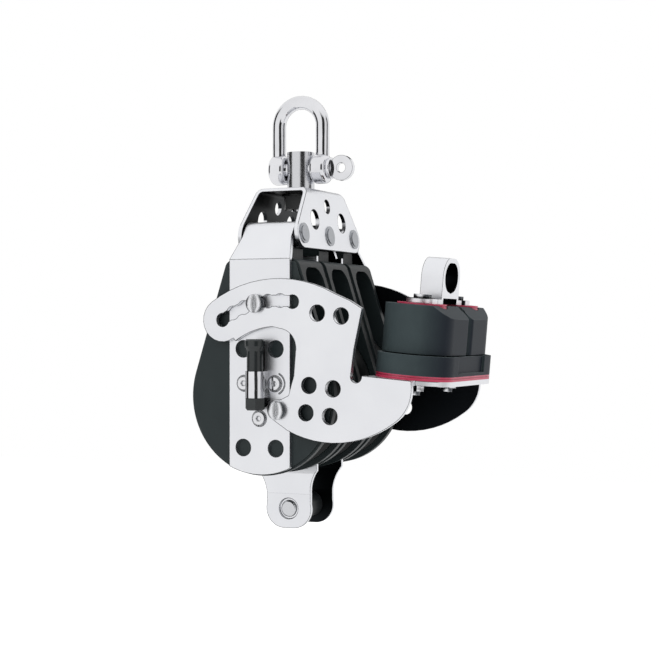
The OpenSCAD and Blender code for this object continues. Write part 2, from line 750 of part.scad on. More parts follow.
bush_gap = 0.3;
pin_edge = 0.6;
ear_in_y = inner_strap_y - strap_t / 2 - ear_set;
module becket_pin() color(bright) hung() {
    bar_y([0, -becket_drop], becket_pin_d, -ear_in_y - strap_t, ear_in_y + strap_t);
    both_sides() translate([0, -ear_in_y - strap_t, -becket_drop]) rotate([90, 0, 0])
        cylinder(d1 = becket_pin_d, d2 = becket_pin_d - 2 * pin_edge, h = pin_edge);
}
module becket_bush() color(acetal) hung() difference() {
    bar_y([0, -becket_drop], bush_d, -ear_in_y + bush_gap, ear_in_y - bush_gap);
    bar_y([0, -becket_drop], becket_pin_d + 2 * fit_gap, -pitch, pitch);
}

// Arm screws

arm_washer_t = arm_gap - 0.1;
slot_screw_at = polar(arm_pivot, slot_r, slot_middle);

module arm_screw(at, d) {
    bar_y(at, d, -arm_out_y - head_gap, -pitch - cheek_in);
    difference() {
        translate([at.x, -arm_out_y - head_gap, at.y]) rotate([90, 0, 0]) {
            cylinder(d = arm_screw_head_d, h = arm_head_h - arm_head_edge);
            translate([0, 0, arm_head_h - arm_head_edge])
                cylinder(d1 = arm_screw_head_d, d2 = arm_screw_head_d - 2 * arm_head_edge, h = arm_head_edge);
        }
        translate([at.x - driver_slot_w / 2, -arm_out_y - arm_head_h - 0.2, at.y - arm_screw_head_d])
            cube([driver_slot_w, 1.1, 2 * arm_screw_head_d]);
    }
}
module pivot_screws() color(bright) hung() both_sides() arm_screw(arm_pivot, arm_shank_d);
module slot_screws() color(bright) hung() both_sides() arm_screw(slot_screw_at, slot_screw_d);

module arm_washers() color(acetal) hung() both_sides() difference() {
    bar_y(arm_pivot, arm_washer_d, -strap_out_y - arm_washer_t, -strap_out_y);
    bar_y(arm_pivot, arm_shank_d + 2 * fit_gap, -strap_out_y - 1, -strap_out_y + 1);
}

// Cleat arm. Its outline is measured from the pivot.

slot_band = 11.2;
arm_edge_r = slot_r + slot_band;
window_edge_r = 42.2;
arm_tip = [46.2, 51];
arm_edge = [41.8, 30.7];
relief = [43, 17.4];
relief_r = 3;
fold_start = [46.3, 17.8];
fold_end = [72, 15.6];
foot_corner = [52.2, 11.8];
foot_r = 20;
fold_in = 0.5;
fold_lip = 0.05;
foot_end = -52.8;
belly_r = 56.5;
belly = foot_corner - (belly_r - foot_r) * [cos(foot_end), sin(foot_end)];
lobe_r = 5.4;
neck = [6.2, 7.6];
waist = [9.2, 17.5];
window_corner = [0.3, 31.2];
window_r = 10;
tilt = atan2(fold_start.y - fold_end.y, fold_end.x - fold_start.x);
seat_x = 64.4;
seat = [seat_x, fold_start.y - (seat_x - fold_start.x) * tan(tilt)];

module arm_outline() {
    o = [0, 0];
    left = slot_middle + slot_half;
    polygon(concat(
        arc(polar(o, slot_r, left), slot_band, left + 180, left),
        arc(o, arm_edge_r, left, 62),
        [polar(o, arm_edge_r + 1.4, 54), arm_tip, arm_edge, [relief.x - 3, relief.y],
            [relief.x, relief.y - 1], fold_start + [0, fold_lip], fold_end + [0, fold_lip]],
        arc(foot_corner, foot_r, 7, foot_end),
        arc(belly, belly_r, foot_end - 1, -116),
        arc(o, lobe_r, 235, 75),
        [neck, waist],
        arc(window_corner, window_r, 0, 85),
        arc(o, window_edge_r, 94, left)));
}

module arm_slot() {
    for (i = [0:notch_count - 1]) translate(polar([0, 0], slot_r, slot_middle - slot_half + notch_step * i))
        circle(d = notch_d);
    polygon(concat(
        arc([0, 0], slot_r - slot_w / 2, slot_middle - slot_half, slot_middle + slot_half, 24),
        arc([0, 0], slot_r + slot_w / 2, slot_middle + slot_half, slot_middle - slot_half, 24)));
}

arm_holes = [[22, 48.8], [35, 47.3], [17.5, 12.8], [30.6, 11.3], [15.8, -0.9], [28.9, -2.4]];

module arm_plate() difference() {
    arm_outline();
    arm_slot();
    translate(relief) circle(r = relief_r);
    circle(d = arm_shank_d + 2 * fit_gap);
    for (at = arm_holes) translate(at) circle(d = arm_hole_d);
}

// Tilted frame of the cleat: u outwards, y along the cams, w up from the platform
module on_platform() translate([arm_pivot.x + seat.x, 0, arm_pivot.y + seat.y]) rotate([0, tilt, 0]) children();

lobe_y = cam_span / 2 + 2.5;
post_u = -0.6;
post_y = cam_span / 2;
fold_u0 = (fold_start.x + fold_in - seat.x) / cos(tilt);
fold_u1 = (fold_end.x - fold_in - seat.x) / cos(tilt);
platform_y = arm_out_y - arm_t / 2;

module base_outline() belt([[0, -lobe_y, base_w / 2], [0, lobe_y, base_w / 2]]);

module arm_bracket() color(steel) hung() {
    both_sides() along_y(-arm_out_y, arm_t) translate(arm_pivot) arm_plate();
    on_platform() translate([0, 0, -arm_t]) linear_extrude(arm_t) difference() {
        union() {
            translate([fold_u0, -platform_y]) square([fold_u1 - fold_u0, 2 * platform_y]);
            base_outline();
        }
        for (side = [-1, 1]) translate([post_u, side * post_y]) circle(d = cleat_screw_d + 2 * fit_gap);
    }
}

// Cam cleat

cleat_screw_d = 5;
cam_gap = 0.5;
cam_low = wear_t + base_h + cam_gap;
cam_top = cam_low + cam_h;
cam_recess = 4;
cam_washer_d = 25;
cam_washer_t = 4.5;
cam_washer_low = cam_top - cam_recess + 0.3;
spring_r = 8.4;
spring_wire = 1.4;
spring_space = 0.1;

module post_holes(d) for (side = [-1, 1]) translate([post_u, side * post_y]) circle(d = d);

// Edge groove that parts a moulded plate into two lips
line_t = 0.5;
line_in = 0.5;

module base_wear_plate() color(red) hung() on_platform() difference() {
    linear_extrude(wear_t) base_outline();
    translate([0, 0, -1]) linear_extrude(wear_t + 2) post_holes(cleat_screw_d + 2 * fit_gap);
    translate([0, 0, wear_t / 2]) linear_extrude(line_t) difference() {
        belt([[0, -lobe_y, base_w / 2 + 1], [0, lobe_y, base_w / 2 + 1]]);
        belt([[0, -lobe_y, base_w / 2 - line_in], [0, lobe_y, base_w / 2 - line_in]]);
    }
}

flank_in = 1.5;
flank_end = 6.5;
ledge_t = 1.6;
module cleat_base() color(charcoal) hung() on_platform() difference() {
    translate([0, 0, wear_t]) linear_extrude(base_h) difference() {
        base_outline();
        post_holes(cleat_screw_d + 2 * fit_gap);
    }
    translate([base_w / 2 - flank_in, flank_end - lobe_y, wear_t + ledge_t])
        cube([5, 2 * (lobe_y - flank_end), base_h]);
}

module cam_posts() color(bright) hung() on_platform() translate([0, 0, wear_t + base_h])
    linear_extrude(cam_washer_low - wear_t - base_h) difference() {
        post_holes(cam_post_d);
        post_holes(cleat_screw_d + 2 * fit_gap);
    }

module cam_springs() color(dark_steel) hung() on_platform()
    for (side = [-1, 1]) translate([post_u, side * post_y, 0]) for (turn = [0:1])
        translate([0, 0, wear_t + base_h + spring_wire / 2 + (spring_wire + spring_space) * turn])
        rotate_extrude() translate([spring_r, 0]) circle(d = spring_wire, $fn = 24);

module cam_washers() color(red) hung() on_platform() for (side = [-1, 1])
    translate([post_u, side * post_y, cam_washer_low]) difference() {
        cylinder(d = cam_washer_d, h = cam_washer_t);
        translate([0, 0, -1]) cylinder(d = cleat_screw_d + 2 * fit_gap, h = cam_washer_t + 2);
        translate([0, 0, cam_washer_t - 2 * line_t - 0.3]) difference() {
            cylinder(d = cam_washer_d + 2, h = line_t);
            translate([0, 0, -1]) cylinder(d = cam_washer_d - 2 * line_in, h = line_t + 2);
        }
    }

nose = [14.6, -4.5];
nose_r = 3.2;
cam_body = [post_u, -cam_span / 2];
cam_body_r = 18.2;
cam_slope_in = 7;
cam_slope_drop = 7;
tooth_gap_d = 2.3;
tooth_gap_out = 0.2;

// Cam drawn for the front side, toothed towards the rope
module cam() difference() {
    translate([0, 0, cam_low]) linear_extrude(cam_h) difference() {
        belt([[cam_body.x, cam_body.y, cam_body_r], [nose.x, nose.y, nose_r]]);
        cam_tooth_gaps();
        translate([post_u, -post_y]) circle(d = cam_post_d + 2 * fit_gap);
    }
    translate([post_u, -post_y, cam_top - cam_recess]) cylinder(d = cam_washer_d + 0.8, h = cam_recess + 1);
    translate([post_u, -post_y, cam_low - 1]) cylinder(r = spring_r + spring_wire / 2 + 0.4,
        h = 1 + 2 * spring_wire + spring_space + 0.3);
    cam_slope();
}

// Sloping top of a cam towards its nose
module cam_slope() {
    reach = nose.x + nose_r + 1;
    rotate([90, 0, 0]) linear_extrude(2 * cam_span, center = true) polygon([
        [nose.x + nose_r - cam_slope_in, cam_top], [reach, cam_top - cam_slope_drop],
        [reach, cam_top + 1], [nose.x + nose_r - cam_slope_in, cam_top + 1]]);
}

// Notches between the gripping teeth, spaced along the flank that faces the rope
module cam_tooth_gaps() {
    a = [nose.x, nose.y, nose_r];
    b = [cam_body.x, cam_body.y, cam_body_r];
    t = tangent(a, b);
    p = polar(a, a.z, t);
    q = polar(b, b.z, t);
    for (i = [0:cam_teeth - 1]) let (at = p + (q - p) * (i + 0.5) / cam_teeth)
        translate(polar(at, tooth_gap_out, t)) rotate(t) circle(d = tooth_gap_d, $fn = 4);
}

module cam_front() color(charcoal) hung() on_platform() cam();
module cam_rear() color(charcoal) hung() on_platform() mirror([0, 1, 0]) cam();

// Fairlead eyestrap over the cams
foot_low = cam_washer_low + cam_washer_t;
ring_half = 12.5;
ring_top = foot_low + 23.7;
ring_u = post_u - ring_l / 2;

module ring_profile() difference() {
    union() {
        belt([[2.5, ring_top - 10, 10], [-2.5, ring_top - 10, 10], [-ring_half + 1, foot_low + 1, 1],
            [ring_half - 1, foot_low + 1, 1]]);
    }
    belt([[2, ring_top - 10, 10 - ring_t], [-2, ring_top - 10, 10 - ring_t], [0, foot_low + 7, 1.5]]);
    translate([-ring_half + ring_t, foot_low - 1]) square([2 * (ring_half - ring_t), 4]);
}

module eyestrap() color(bright) hung() on_platform() {
    along_x(ring_u, ring_l) ring_profile();
    both_sides() translate([0, 0, foot_low]) linear_extrude(ring_t) difference() {
        union() {
            belt([[post_u, -post_y - 2, 7.2], [post_u, -post_y + 2, 7.2]]);
            translate([ring_u, -post_y]) square([ring_l, post_y - ring_half + 1]);
        }
        translate([post_u, -post_y]) circle(d = cleat_screw_d + 2 * fit_gap);
    }
}

screw_tail = 2;
nut_t = 4;
module cleat_screws() color(bright) hung() on_platform() for (side = [-1, 1])
    translate([post_u, side * post_y, -arm_t - nut_t - screw_tail]) {
        stem = foot_low + ring_t + arm_t + nut_t + screw_tail;
        cylinder(d = cleat_screw_d, h = stem);
        difference() {
            translate([0, 0, stem]) cylinder(d = 9, h = 2);
            translate([0, 0, stem + 1]) cube([10, 1.4, 2.1], center = true);
        }
    }

module cleat_nuts() color(dark_steel) hung() on_platform() for (side = [-1, 1])
    translate([post_u, side * post_y, -arm_t - nut_t]) difference() {
        cylinder(d = 8 / cos(30), h = nut_t, $fn = 6);
        translate([0, 0, -1]) cylinder(d = cleat_screw_d + 2 * fit_gap, h = nut_t + 2);
    }

shackle_bow();
shackle_pin();
swivel_post();
post_nut();
swivel_washer();
head_bracket();
head_pin_front();
head_pin_middle();
head_pin_rear();
strap_front();
strap_inner_front();
strap_inner_rear();
strap_rear();
cheek_1_front();
cheek_1_rear();
cheek_2_front();
cheek_2_rear();
cheek_3_front();
cheek_3_rear();
race_1();
race_2();
race_3();
axle();
hub_screws();
sheave_1();
sheave_2();
sheave_3();
balls_1();
balls_2();
balls_3();
switch_sleeve();
switch_stem();
pawl();
pawl_pin();
becket_pin();
becket_bush();
pivot_screws();
slot_screws();
arm_washers();
arm_bracket();
base_wear_plate();
cleat_base();
cam_posts();
cam_springs();
cam_washers();
eyestrap();
cleat_screws();
cleat_nuts();
cam_front();
cam_rear();
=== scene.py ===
import math

import bpy
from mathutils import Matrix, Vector


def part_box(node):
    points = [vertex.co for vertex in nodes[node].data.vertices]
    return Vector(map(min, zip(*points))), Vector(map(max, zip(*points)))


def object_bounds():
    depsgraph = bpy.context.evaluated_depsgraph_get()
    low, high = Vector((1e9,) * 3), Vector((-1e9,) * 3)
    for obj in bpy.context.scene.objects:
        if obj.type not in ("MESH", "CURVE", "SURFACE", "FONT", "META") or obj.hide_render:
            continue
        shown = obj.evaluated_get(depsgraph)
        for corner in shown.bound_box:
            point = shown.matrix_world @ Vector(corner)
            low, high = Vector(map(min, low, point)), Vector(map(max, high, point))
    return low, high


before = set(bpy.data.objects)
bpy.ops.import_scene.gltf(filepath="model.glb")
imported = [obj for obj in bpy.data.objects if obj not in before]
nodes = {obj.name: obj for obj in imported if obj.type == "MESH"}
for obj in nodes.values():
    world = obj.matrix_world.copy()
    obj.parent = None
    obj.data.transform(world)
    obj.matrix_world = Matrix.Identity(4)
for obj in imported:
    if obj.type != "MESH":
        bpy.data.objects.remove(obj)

cad_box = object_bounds()

# Camera. The photograph looks level at the switch side with the cleat to the right, from about a
# metre away with a long lens, so upright edges stay upright and the three cheeks overlap in steps.
MM = 0.001
view_turn = math.radians(24.3)
view_distance = 830 * MM
aim_across = 15.4 * MM
aim_height = -118.2 * MM
photo_width_px = 659
focal_px = 1548
sensor_width_mm = 36

across = Vector((math.cos(view_turn), math.sin(view_turn), 0))
away = Vector((-math.sin(view_turn), math.cos(view_turn), 0))
camera_data = bpy.data.cameras.new("photo_camera")
camera_data.sensor_fit = "HORIZONTAL"
camera_data.sensor_width = sensor_width_mm
camera_data.lens = focal_px * sensor_width_mm / photo_width_px
camera_data.clip_start = 0.05
camera_data.clip_end = 30
camera = bpy.data.objects.new("photo_camera", camera_data)
bpy.context.scene.collection.objects.link(camera)
camera.location = across * aim_across - away * view_distance + Vector((0, 0, aim_height))
camera.rotation_euler = (math.radians(90), 0, view_turn)
bpy.context.scene.camera = camera
bpy.context.scene.view_settings.view_transform = "Standard"

# Studio. A white room that the camera and the polished metal both see, with four upright dark screens
# in it for the metal to mirror as streaks, dimmer white for plain light, and soft boxes for shape.


def add(tree, kind, settings=None, links=None):
    """Adds one node to a tree, sets its properties or sockets, and links its inputs."""
    node = tree.nodes.new(kind)
    for name, value in (settings or {}).items():
        if isinstance(name, str) and hasattr(node, name):
            setattr(node, name, value)
        else:
            node.inputs[name].default_value = value
    for name, socket in (links or {}).items():
        tree.links.new(socket, node.inputs[name])
    return node


def linear(colour):
    """Turns an sRGB hex colour such as #39403f into the linear RGBA that Blender uses."""
    channels = [int(colour[i:i + 2], 16) / 255 for i in (1, 3, 5)]
    return tuple(c / 12.92 if c <= 0.04045 else ((c + 0.055) / 1.055) ** 2.4 for c in channels) + (1.0,)


room_light = 0.62
world = bpy.data.worlds.new("white_room")
bpy.context.scene.world = world
world.use_nodes = True
room = world.node_tree
room.nodes.clear()
path = add(room, "ShaderNodeLightPath")
seen = add(room, "ShaderNodeMath", {"operation": "MAXIMUM"},
           {0: path.outputs["Is Camera Ray"], 1: path.outputs["Is Transmission Ray"]})
direction = add(room, "ShaderNodeTexCoord")
parts = add(room, "ShaderNodeSeparateXYZ", None, {0: direction.outputs["Generated"]})
turn = add(room, "ShaderNodeMath", {"operation": "ARCTAN2"}, {0: parts.outputs["X"], 1: parts.outputs["Y"]})
screens = add(room, "ShaderNodeValToRGB", None, {
    0: add(room, "ShaderNodeMapRange", {"From Min": -math.pi, "From Max": math.pi},
           {0: turn.outputs[0]}).outputs[0]})
stops = screens.color_ramp.elements
stops[0].position, stops[0].color = 0.0, (1, 1, 1, 1)
stops[1].position, stops[1].color = 1.0, (1, 1, 1, 1)
# Each pair is a share of a full turn and the brightness of the wall there.
screen_edges = ((0.145, 1.0), (0.160, 0.04), (0.255, 0.03), (0.275, 1.0),
                (0.385, 1.0), (0.405, 0.05), (0.480, 0.05), (0.500, 1.0),
                (0.645, 1.0), (0.660, 0.05), (0.715, 0.10), (0.735, 0.9),
                (0.825, 0.9), (0.840, 0.03), (0.935, 0.03), (0.950, 1.0))
for share_of_turn, shade in screen_edges:
    stop = stops.new(share_of_turn)
    stop.color = (shade, shade, shade, 1)
steepness = add(room, "ShaderNodeMath", {"operation": "ABSOLUTE"}, {0: parts.outputs["Z"]})
screen_fade_from = 0.4
screen_fade_to = 0.55
over_screens = add(room, "ShaderNodeMapRange", {"From Min": screen_fade_from, "From Max": screen_fade_to},
                   {0: steepness.outputs[0]})
walls = add(room, "ShaderNodeMix", {"data_type": "RGBA", 7: (1, 1, 1, 1)},
            {0: over_screens.outputs[0], 6: screens.outputs["Color"]})
mirrored = add(room, "ShaderNodeMix", {"data_type": "RGBA", 6: (room_light,) * 3 + (1,)},
               {0: path.outputs["Is Glossy Ray"], 7: walls.outputs[2]})
shown = add(room, "ShaderNodeMix", {"data_type": "RGBA", 7: (1, 1, 1, 1)},
            {0: seen.outputs[0], 6: mirrored.outputs[2]})
backdrop = add(room, "ShaderNodeBackground", {"Strength": 1.0}, {"Color": shown.outputs[2]})
add(room, "ShaderNodeOutputWorld", None, {"Surface": backdrop.outputs[0]})

middle = (Vector(cad_box[0]) + Vector(cad_box[1])) / 2
# Each lamp has its metres across, behind and above the block's middle, its side in metres, and watts.
for name, side, back, up, size, watts in (
        ("key_box", -0.95, -0.95, 0.75, 1.3, 7.0),
        ("right_box", 1.25, -0.15, 0.35, 1.0, 2.0),
        ("top_box", 0.0, 0.1, 1.3, 1.1, 4.5)):
    lamp = bpy.data.lights.new(name, "AREA")
    lamp.shape = "SQUARE"
    lamp.size = size
    lamp.energy = watts
    box = bpy.data.objects.new(name, lamp)
    bpy.context.scene.collection.objects.link(box)
    box.visible_glossy = False
    box.location = middle + across * side + away * back + Vector((0, 0, up))
    box.rotation_euler = (middle - box.location).to_track_quat("-Z", "Y").to_euler()

# Floor. The block hangs above a plain pale floor, low enough to be under the photograph's frame
# where its shadow falls. It is seen as white by the camera and by the polished metal.
floor_drop = 90 * MM
floor_half = 1200 * MM
floor_z = cad_box[0][2] - floor_drop
floor_mesh = bpy.data.meshes.new("floor")
floor_mesh.from_pydata([(-floor_half, -floor_half, floor_z), (floor_half, -floor_half, floor_z),
                        (floor_half, floor_half, floor_z), (-floor_half, floor_half, floor_z)],
                       [], [(0, 1, 2, 3)])
floor = bpy.data.objects.new("floor", floor_mesh)
bpy.context.scene.collection.objects.link(floor)
floor_paint = bpy.data.materials.new("white_floor_paint")
floor_paint.use_nodes = True
paint = floor_paint.node_tree
paint.nodes.clear()
path = add(paint, "ShaderNodeLightPath")
matt = add(paint, "ShaderNodeBsdfDiffuse", {"Color": linear("#f4f4f4")})
floor_glow = 0.5
glow = add(paint, "ShaderNodeEmission", {"Color": (1, 1, 1, 1), "Strength": floor_glow})
lifted = add(paint, "ShaderNodeAddShader", None, {0: matt.outputs[0], 1: glow.outputs[0]})
for_camera = add(paint, "ShaderNodeMixShader", None,
                 {0: path.outputs["Is Camera Ray"], 1: matt.outputs[0], 2: lifted.outputs[0]})
white = add(paint, "ShaderNodeEmission", {"Color": (1, 1, 1, 1), "Strength": 1.0})
cover = add(paint, "ShaderNodeMixShader", None,
            {0: path.outputs["Is Glossy Ray"], 1: for_camera.outputs[0], 2: white.outputs[0]})
add(paint, "ShaderNodeOutputMaterial", None, {"Surface": cover.outputs[0]})
floor_mesh.materials.append(floor_paint)


def dress(names, material):
    """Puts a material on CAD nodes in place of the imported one."""
    for name in names:
        node = nodes[name]
        node.data.materials.clear()
        node.data.materials.append(material)


forge_wave_mm = 9
forge_wave_depth = 0.9 * MM
rub_mm = 0.5
rub_depth = 0.1 * MM
forge_edge_mm = 0.5
forged_stainless = bpy.data.materials.new("forged_stainless_electropolished")
forged_stainless.use_nodes = True
metal = forged_stainless.node_tree
metal.nodes.clear()
place = add(metal, "ShaderNodeTexCoord")
waves = add(metal, "ShaderNodeTexNoise",
            {"Scale": 1 / (forge_wave_mm * MM), "Detail": 2.0, "Roughness": 0.4},
            {"Vector": place.outputs["Object"]})
rubs = add(metal, "ShaderNodeTexNoise", {"Scale": 1 / (rub_mm * MM), "Detail": 4.0, "Roughness": 0.7},
           {"Vector": add(metal, "ShaderNodeMapping", {"Scale": (1, 1, 0.12)},
                          {"Vector": place.outputs["Object"]}).outputs[0]})
dulling = add(metal, "ShaderNodeMapRange",
              {"From Min": 0.35, "From Max": 0.75, "To Min": 0.04, "To Max": 0.12},
              {0: rubs.outputs["Fac"]})
tone = add(metal, "ShaderNodeMix", {"data_type": "RGBA", 6: linear("#d2d3d6"), 7: linear("#eaeaed")},
           {0: waves.outputs["Fac"]})
slow = add(metal, "ShaderNodeBump", {"Strength": 0.35, "Distance": forge_wave_depth},
           {"Height": waves.outputs["Fac"]})
fine = add(metal, "ShaderNodeBump", {"Strength": 0.05, "Distance": rub_depth},
           {"Height": rubs.outputs["Fac"], "Normal": slow.outputs[0]})
softened = add(metal, "ShaderNodeBevel", {"samples": 8, "Radius": forge_edge_mm * MM})
true_face = add(metal, "ShaderNodeNewGeometry")
turned = add(metal, "ShaderNodeVectorMath", {"operation": "DOT_PRODUCT"},
             {0: softened.outputs[0], 1: true_face.outputs["True Normal"]})
# The rounded edges are painted dark with this mask, as painted shade.
corner = add(metal, "ShaderNodeMapRange", {"From Min": 0.99, "From Max": 0.93, "To Max": 0.8},
             {0: turned.outputs["Value"]})
tone_with_painted_edge_shade = add(metal, "ShaderNodeMix", {"data_type": "RGBA", 7: linear("#2c2f32")},
            {0: corner.outputs[0], 6: tone.outputs[2]})
shell = add(metal, "ShaderNodeBsdfPrincipled", {"Metallic": 1.0},
            {"Base Color": tone_with_painted_edge_shade.outputs[2], "Roughness": dulling.outputs[0], "Normal": fine.outputs[0]})
add(metal, "ShaderNodeOutputMaterial", None, {"Surface": shell.outputs[0]})
dress(["shackle_bow", "shackle_pin"], forged_stainless)

# Swivel post. Turned from stainless bar, so it keeps lathe rings round its upright axis, which spread
# each highlight into a soft vertical band. The rings are drawn far coarser than real, so that they show.
wave_repeat = math.tau / 20
lathe_pitch_mm = 2.2
lathe_smear_mm = 4
lathe_depth = 0.1 * MM
turned_stainless = bpy.data.materials.new("turned_stainless_bar")
turned_stainless.use_nodes = True
metal = turned_stainless.node_tree
metal.nodes.clear()
place = add(metal, "ShaderNodeTexCoord")
rings = add(metal, "ShaderNodeTexWave", {"wave_type": "BANDS", "bands_direction": "Z",
                                         "Scale": wave_repeat / (lathe_pitch_mm * MM), "Distortion": 1.2,
                                         "Detail": 2.0, "Detail Scale": 1.5},
            {"Vector": place.outputs["Object"]})
smears = add(metal, "ShaderNodeTexNoise", {"Scale": 1 / (lathe_smear_mm * MM), "Detail": 3.0},
             {"Vector": place.outputs["Object"]})
dulling = add(metal, "ShaderNodeMapRange", {"To Min": 0.14, "To Max": 0.26}, {0: smears.outputs["Fac"]})
cut = add(metal, "ShaderNodeBump", {"Strength": 0.12, "Distance": lathe_depth},
          {"Height": rings.outputs["Fac"]})
shell = add(metal, "ShaderNodeBsdfPrincipled", {"Base Color": linear("#cfd0d3"), "Metallic": 1.0},
            {"Roughness": dulling.outputs[0], "Normal": cut.outputs[0]})
add(metal, "ShaderNodeOutputMaterial", None, {"Surface": shell.outputs[0]})
dress(["swivel_post"], turned_stainless)

# Post nut, swivel washer, becket bush and arm washers. Black acetal, turned: a close, waxy black on
# which the post, the rope's eye and the arm turn without grease.
acetal_grain_mm = 0.3
acetal_grain_depth = 0.05 * MM
turned_acetal = bpy.data.materials.new("turned_black_acetal")
turned_acetal.use_nodes = True
plastic = turned_acetal.node_tree
plastic.nodes.clear()
place = add(plastic, "ShaderNodeTexCoord")
grain = add(plastic, "ShaderNodeTexNoise", {"Scale": 1 / (acetal_grain_mm * MM), "Detail": 3.0},
            {"Vector": place.outputs["Object"]})
dulling = add(plastic, "ShaderNodeMapRange", {"To Min": 0.3, "To Max": 0.45}, {0: grain.outputs["Fac"]})
fine = add(plastic, "ShaderNodeBump", {"Strength": 0.08, "Distance": acetal_grain_depth},
           {"Height": grain.outputs["Fac"]})
shell = add(plastic, "ShaderNodeBsdfPrincipled", {"Base Color": linear("#232627"), "IOR": 1.48},
            {"Roughness": dulling.outputs[0], "Normal": fine.outputs[0]})
add(plastic, "ShaderNodeOutputMaterial", None, {"Surface": shell.outputs[0]})
dress(["post_nut", "swivel_washer", "becket_bush", "arm_washers"], turned_acetal)

# Head bracket. A U of 2 mm stainless sheet, laser cut, folded and polished. Its outer faces read almost
# white, a fine dark line is painted along each cut edge as painted shade, and the inside is painted black as
# painted shade. The buffing lines are drawn coarser than real, so that they show.


def polished_sheet(name, middle_mm, across_axes, painted_inner_shade="#1e2123"):
    """Polished stainless sheet with a fine dark line painted along each cut edge as painted shade, and the
    faces that look in towards middle_mm, measured only along the axes where across_axes has 1, painted in
    the given dark inner tone as painted shade."""
    material = bpy.data.materials.new(name)
    material.use_nodes = True
    metal = material.node_tree
    metal.nodes.clear()
    place = add(metal, "ShaderNodeTexCoord")
    buffing = add(metal, "ShaderNodeTexNoise",
                  {"Scale": 1 / (buff_mm * MM), "Detail": 5.0, "Roughness": 0.75},
                  {"Vector": add(metal, "ShaderNodeMapping", {"Scale": (1, 1, 0.06)},
                                 {"Vector": place.outputs["Object"]}).outputs[0]})
    clouds = add(metal, "ShaderNodeTexNoise", {"Scale": 1 / (sheet_cloud_mm * MM), "Detail": 2.0},
                 {"Vector": place.outputs["Object"]})
    rounded = add(metal, "ShaderNodeBevel", {"samples": 8, "Radius": cut_edge_mm * MM})
    true_face = add(metal, "ShaderNodeNewGeometry")
    turned = add(metal, "ShaderNodeVectorMath", {"operation": "DOT_PRODUCT"},
                 {0: rounded.outputs[0], 1: true_face.outputs["True Normal"]})
    at_cut = add(metal, "ShaderNodeMapRange", {"From Min": 0.9995, "From Max": 0.985},
                 {0: turned.outputs["Value"]})
    broad = add(metal, "ShaderNodeVectorMath", {"operation": "MULTIPLY", 1: across_axes},
                {0: place.outputs["Normal"]})
    breadth = add(metal, "ShaderNodeVectorMath", {"operation": "LENGTH"}, {0: broad.outputs["Vector"]})
    is_broad = add(metal, "ShaderNodeMapRange", {"From Min": 0.5, "From Max": 0.6},
                   {0: breadth.outputs["Value"]})
    # The dark line along the cut edges is painted shade.
    painted_edge_shade_mask = add(metal, "ShaderNodeMath", {"operation": "MULTIPLY"},
                  {0: at_cut.outputs[0], 1: is_broad.outputs[0]})
    # The faces that look in towards middle_mm are painted in the dark inner tone as painted shade.
    from_middle = add(metal, "ShaderNodeVectorMath",
                      {"operation": "SUBTRACT", 1: [v * MM for v in middle_mm]},
                      {0: place.outputs["Object"]})
    kept = add(metal, "ShaderNodeVectorMath", {"operation": "MULTIPLY", 1: across_axes},
               {0: from_middle.outputs["Vector"]})
    outward = add(metal, "ShaderNodeVectorMath", {"operation": "DOT_PRODUCT"},
                  {0: kept.outputs["Vector"], 1: place.outputs["Normal"]})
    is_inner = add(metal, "ShaderNodeMapRange", {"From Min": -1 * MM, "From Max": -3 * MM},
                   {0: outward.outputs["Value"]})
    face_tone = add(metal, "ShaderNodeMix",
                    {"data_type": "RGBA", 6: linear("#e6e7eb"), 7: linear("#f1f2f5")},
                    {0: clouds.outputs["Fac"]})
    tone_with_painted_inner_shade = add(metal, "ShaderNodeMix", {"data_type": "RGBA", 7: linear(painted_inner_shade)},
                     {0: is_inner.outputs[0], 6: face_tone.outputs[2]})
    tone = add(metal, "ShaderNodeMix", {"data_type": "RGBA", 7: linear("#25282b")},
               {0: painted_edge_shade_mask.outputs[0], 6: tone_with_painted_inner_shade.outputs[2]})
    face_dulling = add(metal, "ShaderNodeMapRange",
                       {"From Min": 0.3, "From Max": 0.8, "To Min": 0.34, "To Max": 0.40},
                       {0: buffing.outputs["Fac"]})
    dulling = add(metal, "ShaderNodeMix", {"data_type": "FLOAT", 3: 0.45},
                  {0: painted_edge_shade_mask.outputs[0], 2: face_dulling.outputs[0]})
    fine = add(metal, "ShaderNodeBump", {"Strength": 0.04, "Distance": buff_depth},
               {"Height": buffing.outputs["Fac"]})
    shell = add(metal, "ShaderNodeBsdfPrincipled", {"Metallic": 1.0},
                {"Base Color": tone.outputs[2], "Roughness": dulling.outputs[0], "Normal": fine.outputs[0]})
    add(metal, "ShaderNodeOutputMaterial", None, {"Surface": shell.outputs[0]})
    return material


cut_edge_mm = 0.5
sheet_cloud_mm = 22
buff_mm = 0.4
buff_depth = 0.1 * MM
head_low, head_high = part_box("head_bracket")
head_middle_mm = (0, 0, head_low[2] / MM)
dress(["head_bracket"], polished_sheet("polished_bracket_sheet", head_middle_mm, (1, 0, 1)))

